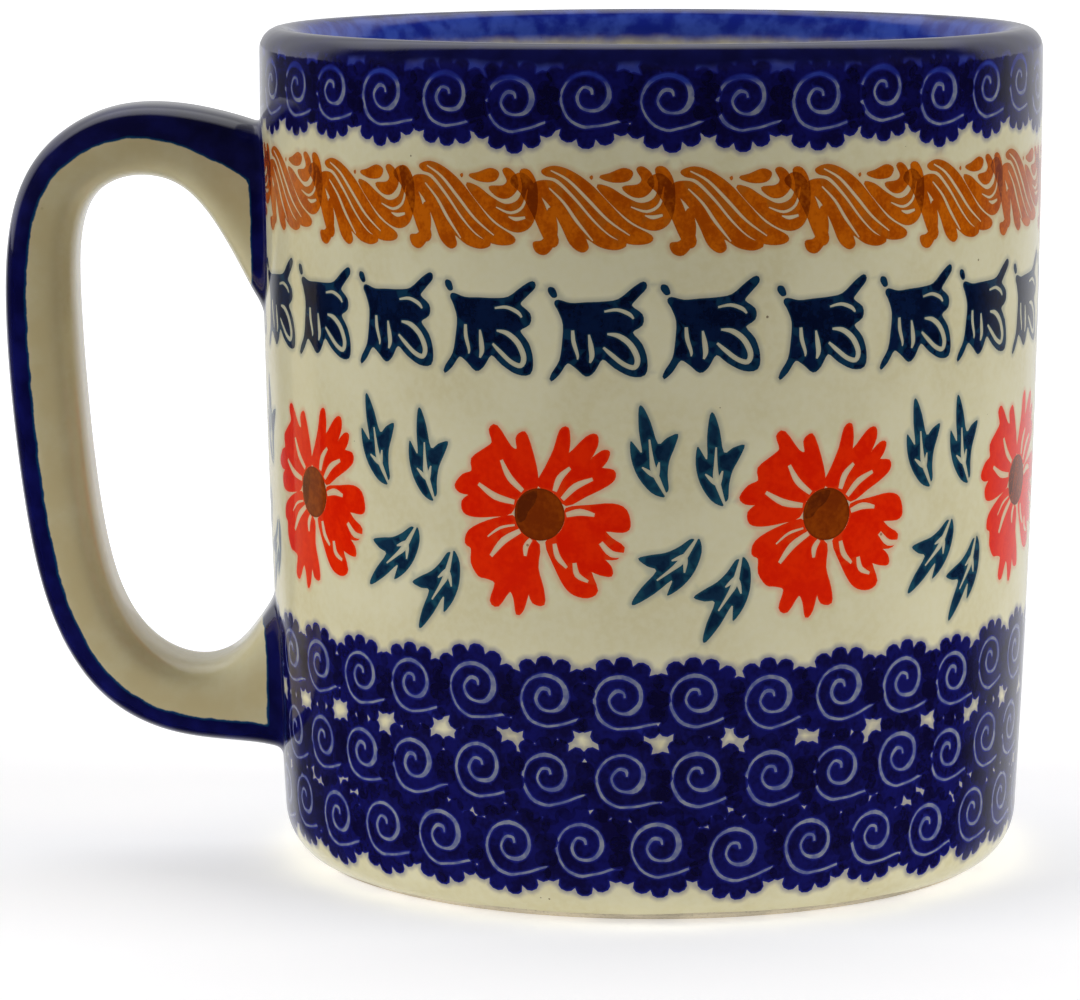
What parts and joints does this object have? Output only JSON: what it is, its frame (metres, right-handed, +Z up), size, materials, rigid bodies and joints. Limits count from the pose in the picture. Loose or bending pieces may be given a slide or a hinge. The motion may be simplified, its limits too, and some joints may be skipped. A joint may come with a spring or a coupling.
{
  "type": "stoneware mug",
  "caption": "Straight-sided stoneware mug with a tall strap handle, glazed all over but for its foot ring, decorated in bands of folk stamps.",
  "frame": {"origin": "middle of the bounding box in plan, on the surface the mug stands on; the cup's own axis is 14.15 mm towards +X", "axes": "+Z up along the cup's axis, handle pointing along -X"},
  "size_m": [0.1144, 0.086, 0.0921],
  "materials": {
    "bare_clay": "matt fired stoneware, pale buff, fine grain",
    "dried_slip": "matt fired slip, slightly darker than the body",
    "cream_glaze": "glossy clear glaze over cream clay and cobalt, orange and teal stamps"
  },
  "bodies": {
    "root": {"cup_body": "bare_clay", "handle": "bare_clay", "upper_slip_joint": "dried_slip", "lower_slip_joint": "dried_slip", "outer_glaze": "cream_glaze", "inner_glaze": "cream_glaze", "base_glaze": "cream_glaze"}
  },
  "joints": []
}
